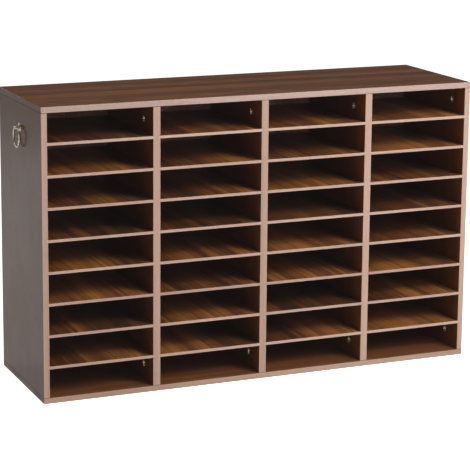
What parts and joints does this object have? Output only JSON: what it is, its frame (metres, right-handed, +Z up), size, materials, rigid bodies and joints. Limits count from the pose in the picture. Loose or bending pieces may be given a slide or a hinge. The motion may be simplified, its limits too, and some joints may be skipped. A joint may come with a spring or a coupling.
{
  "type": "pigeonhole mail sorter",
  "caption": "Free-standing desktop mail sorter with an open front, a grid of pigeonholes formed by dividers and slide-out shelves, and a ring pull on each side.",
  "frame": {"origin": "centre of the footprint, on the underside of the bottom panel", "axes": "+X to the right of someone facing the open front, -Y out of the open front, +Z up"},
  "size_m": [1.0236, 0.3, 0.63],
  "materials": {
    "walnut_laminate": "satin dark walnut laminate",
    "light_edge_band": "matte rose-tan edge band",
    "dark_edge_band": "satin walnut edge band",
    "back_board": "glossy dark brown hardboard",
    "zinc_fitting": "die-cast zinc",
    "dowel_wood": "plain beech",
    "handle_metal": "aged nickel"
  },
  "bodies": {
    "carcass": {"top_panel": "walnut_laminate", "bottom_panel": "walnut_laminate", "left_side_panel": "walnut_laminate", "divider_1": "walnut_laminate", "divider_2": "walnut_laminate", "divider_3": "walnut_laminate", "right_side_panel": "walnut_laminate", "top_panel_end_bands": "dark_edge_band", "bottom_panel_end_bands": "dark_edge_band", "top_front_band": "light_edge_band", "bottom_front_band": "light_edge_band", "left_side_panel_front_band": "light_edge_band", "divider_1_front_band": "light_edge_band", "divider_2_front_band": "light_edge_band", "divider_3_front_band": "light_edge_band", "right_side_panel_front_band": "light_edge_band", "back_panel": "back_board", "cam_locks": "zinc_fitting", "cam_bolts": "zinc_fitting", "wood_dowels": "dowel_wood", "left_handle_rosette": "handle_metal", "left_handle_post": "handle_metal", "right_handle_rosette": "handle_metal", "right_handle_post": "handle_metal"},
    "shelf_col1_row1": {"shelf_col1_row1": "walnut_laminate"},
    "shelf_col1_row2": {"shelf_col1_row2": "walnut_laminate"},
    "shelf_col1_row3": {"shelf_col1_row3": "walnut_laminate"},
    "shelf_col1_row4": {"shelf_col1_row4": "walnut_laminate"},
    "shelf_col1_row5": {"shelf_col1_row5": "walnut_laminate"},
    "shelf_col1_row6": {"shelf_col1_row6": "walnut_laminate"},
    "shelf_col1_row7": {"shelf_col1_row7": "walnut_laminate"},
    "shelf_col1_row8": {"shelf_col1_row8": "walnut_laminate"},
    "shelf_col2_row1": {"shelf_col2_row1": "walnut_laminate"},
    "shelf_col2_row2": {"shelf_col2_row2": "walnut_laminate"},
    "shelf_col2_row3": {"shelf_col2_row3": "walnut_laminate"},
    "shelf_col2_row4": {"shelf_col2_row4": "walnut_laminate"},
    "shelf_col2_row5": {"shelf_col2_row5": "walnut_laminate"},
    "shelf_col2_row6": {"shelf_col2_row6": "walnut_laminate"},
    "shelf_col2_row7": {"shelf_col2_row7": "walnut_laminate"},
    "shelf_col2_row8": {"shelf_col2_row8": "walnut_laminate"},
    "shelf_col3_row1": {"shelf_col3_row1": "walnut_laminate"},
    "shelf_col3_row2": {"shelf_col3_row2": "walnut_laminate"},
    "shelf_col3_row3": {"shelf_col3_row3": "walnut_laminate"},
    "shelf_col3_row4": {"shelf_col3_row4": "walnut_laminate"},
    "shelf_col3_row5": {"shelf_col3_row5": "walnut_laminate"},
    "shelf_col3_row6": {"shelf_col3_row6": "walnut_laminate"},
    "shelf_col3_row7": {"shelf_col3_row7": "walnut_laminate"},
    "shelf_col3_row8": {"shelf_col3_row8": "walnut_laminate"},
    "shelf_col4_row1": {"shelf_col4_row1": "walnut_laminate"},
    "shelf_col4_row2": {"shelf_col4_row2": "walnut_laminate"},
    "shelf_col4_row3": {"shelf_col4_row3": "walnut_laminate"},
    "shelf_col4_row4": {"shelf_col4_row4": "walnut_laminate"},
    "shelf_col4_row5": {"shelf_col4_row5": "walnut_laminate"},
    "shelf_col4_row6": {"shelf_col4_row6": "walnut_laminate"},
    "shelf_col4_row7": {"shelf_col4_row7": "walnut_laminate"},
    "shelf_col4_row8": {"shelf_col4_row8": "walnut_laminate"},
    "left_handle_ring": {"left_handle_ring": "handle_metal"},
    "right_handle_ring": {"right_handle_ring": "handle_metal"}
  },
  "joints": [
    {"name": "left_ring_swing", "type": "hinge", "parent": "carcass", "child": "left_handle_ring", "pos_m": [-0.5076, 0, 0.565], "axis": [0, 1, 0], "range_deg": [-7, 187]},
    {"name": "right_ring_swing", "type": "hinge", "parent": "carcass", "child": "right_handle_ring", "pos_m": [0.5076, 0, 0.565], "axis": [0, -1, 0], "range_deg": [-7, 187]},
    {"name": "shelf_col1_row1_slide", "type": "slide", "parent": "carcass", "child": "shelf_col1_row1", "axis": [0, -1, 0], "range_m": [0, 0.28]},
    {"name": "shelf_col1_row2_slide", "type": "slide", "parent": "carcass", "child": "shelf_col1_row2", "axis": [0, -1, 0], "range_m": [0, 0.28]},
    {"name": "shelf_col1_row3_slide", "type": "slide", "parent": "carcass", "child": "shelf_col1_row3", "axis": [0, -1, 0], "range_m": [0, 0.28]},
    {"name": "shelf_col1_row4_slide", "type": "slide", "parent": "carcass", "child": "shelf_col1_row4", "axis": [0, -1, 0], "range_m": [0, 0.28]},
    {"name": "shelf_col1_row5_slide", "type": "slide", "parent": "carcass", "child": "shelf_col1_row5", "axis": [0, -1, 0], "range_m": [0, 0.28]},
    {"name": "shelf_col1_row6_slide", "type": "slide", "parent": "carcass", "child": "shelf_col1_row6", "axis": [0, -1, 0], "range_m": [0, 0.28]},
    {"name": "shelf_col1_row7_slide", "type": "slide", "parent": "carcass", "child": "shelf_col1_row7", "axis": [0, -1, 0], "range_m": [0, 0.28]},
    {"name": "shelf_col1_row8_slide", "type": "slide", "parent": "carcass", "child": "shelf_col1_row8", "axis": [0, -1, 0], "range_m": [0, 0.28]},
    {"name": "shelf_col2_row1_slide", "type": "slide", "parent": "carcass", "child": "shelf_col2_row1", "axis": [0, -1, 0], "range_m": [0, 0.28]},
    {"name": "shelf_col2_row2_slide", "type": "slide", "parent": "carcass", "child": "shelf_col2_row2", "axis": [0, -1, 0], "range_m": [0, 0.28]},
    {"name": "shelf_col2_row3_slide", "type": "slide", "parent": "carcass", "child": "shelf_col2_row3", "axis": [0, -1, 0], "range_m": [0, 0.28]},
    {"name": "shelf_col2_row4_slide", "type": "slide", "parent": "carcass", "child": "shelf_col2_row4", "axis": [0, -1, 0], "range_m": [0, 0.28]},
    {"name": "shelf_col2_row5_slide", "type": "slide", "parent": "carcass", "child": "shelf_col2_row5", "axis": [0, -1, 0], "range_m": [0, 0.28]},
    {"name": "shelf_col2_row6_slide", "type": "slide", "parent": "carcass", "child": "shelf_col2_row6", "axis": [0, -1, 0], "range_m": [0, 0.28]},
    {"name": "shelf_col2_row7_slide", "type": "slide", "parent": "carcass", "child": "shelf_col2_row7", "axis": [0, -1, 0], "range_m": [0, 0.28]},
    {"name": "shelf_col2_row8_slide", "type": "slide", "parent": "carcass", "child": "shelf_col2_row8", "axis": [0, -1, 0], "range_m": [0, 0.28]},
    {"name": "shelf_col3_row1_slide", "type": "slide", "parent": "carcass", "child": "shelf_col3_row1", "axis": [0, -1, 0], "range_m": [0, 0.28]},
    {"name": "shelf_col3_row2_slide", "type": "slide", "parent": "carcass", "child": "shelf_col3_row2", "axis": [0, -1, 0], "range_m": [0, 0.28]},
    {"name": "shelf_col3_row3_slide", "type": "slide", "parent": "carcass", "child": "shelf_col3_row3", "axis": [0, -1, 0], "range_m": [0, 0.28]},
    {"name": "shelf_col3_row4_slide", "type": "slide", "parent": "carcass", "child": "shelf_col3_row4", "axis": [0, -1, 0], "range_m": [0, 0.28]},
    {"name": "shelf_col3_row5_slide", "type": "slide", "parent": "carcass", "child": "shelf_col3_row5", "axis": [0, -1, 0], "range_m": [0, 0.28]},
    {"name": "shelf_col3_row6_slide", "type": "slide", "parent": "carcass", "child": "shelf_col3_row6", "axis": [0, -1, 0], "range_m": [0, 0.28]},
    {"name": "shelf_col3_row7_slide", "type": "slide", "parent": "carcass", "child": "shelf_col3_row7", "axis": [0, -1, 0], "range_m": [0, 0.28]},
    {"name": "shelf_col3_row8_slide", "type": "slide", "parent": "carcass", "child": "shelf_col3_row8", "axis": [0, -1, 0], "range_m": [0, 0.28]},
    {"name": "shelf_col4_row1_slide", "type": "slide", "parent": "carcass", "child": "shelf_col4_row1", "axis": [0, -1, 0], "range_m": [0, 0.28]},
    {"name": "shelf_col4_row2_slide", "type": "slide", "parent": "carcass", "child": "shelf_col4_row2", "axis": [0, -1, 0], "range_m": [0, 0.28]},
    {"name": "shelf_col4_row3_slide", "type": "slide", "parent": "carcass", "child": "shelf_col4_row3", "axis": [0, -1, 0], "range_m": [0, 0.28]},
    {"name": "shelf_col4_row4_slide", "type": "slide", "parent": "carcass", "child": "shelf_col4_row4", "axis": [0, -1, 0], "range_m": [0, 0.28]},
    {"name": "shelf_col4_row5_slide", "type": "slide", "parent": "carcass", "child": "shelf_col4_row5", "axis": [0, -1, 0], "range_m": [0, 0.28]},
    {"name": "shelf_col4_row6_slide", "type": "slide", "parent": "carcass", "child": "shelf_col4_row6", "axis": [0, -1, 0], "range_m": [0, 0.28]},
    {"name": "shelf_col4_row7_slide", "type": "slide", "parent": "carcass", "child": "shelf_col4_row7", "axis": [0, -1, 0], "range_m": [0, 0.28]},
    {"name": "shelf_col4_row8_slide", "type": "slide", "parent": "carcass", "child": "shelf_col4_row8", "axis": [0, -1, 0], "range_m": [0, 0.28]}
  ]
}
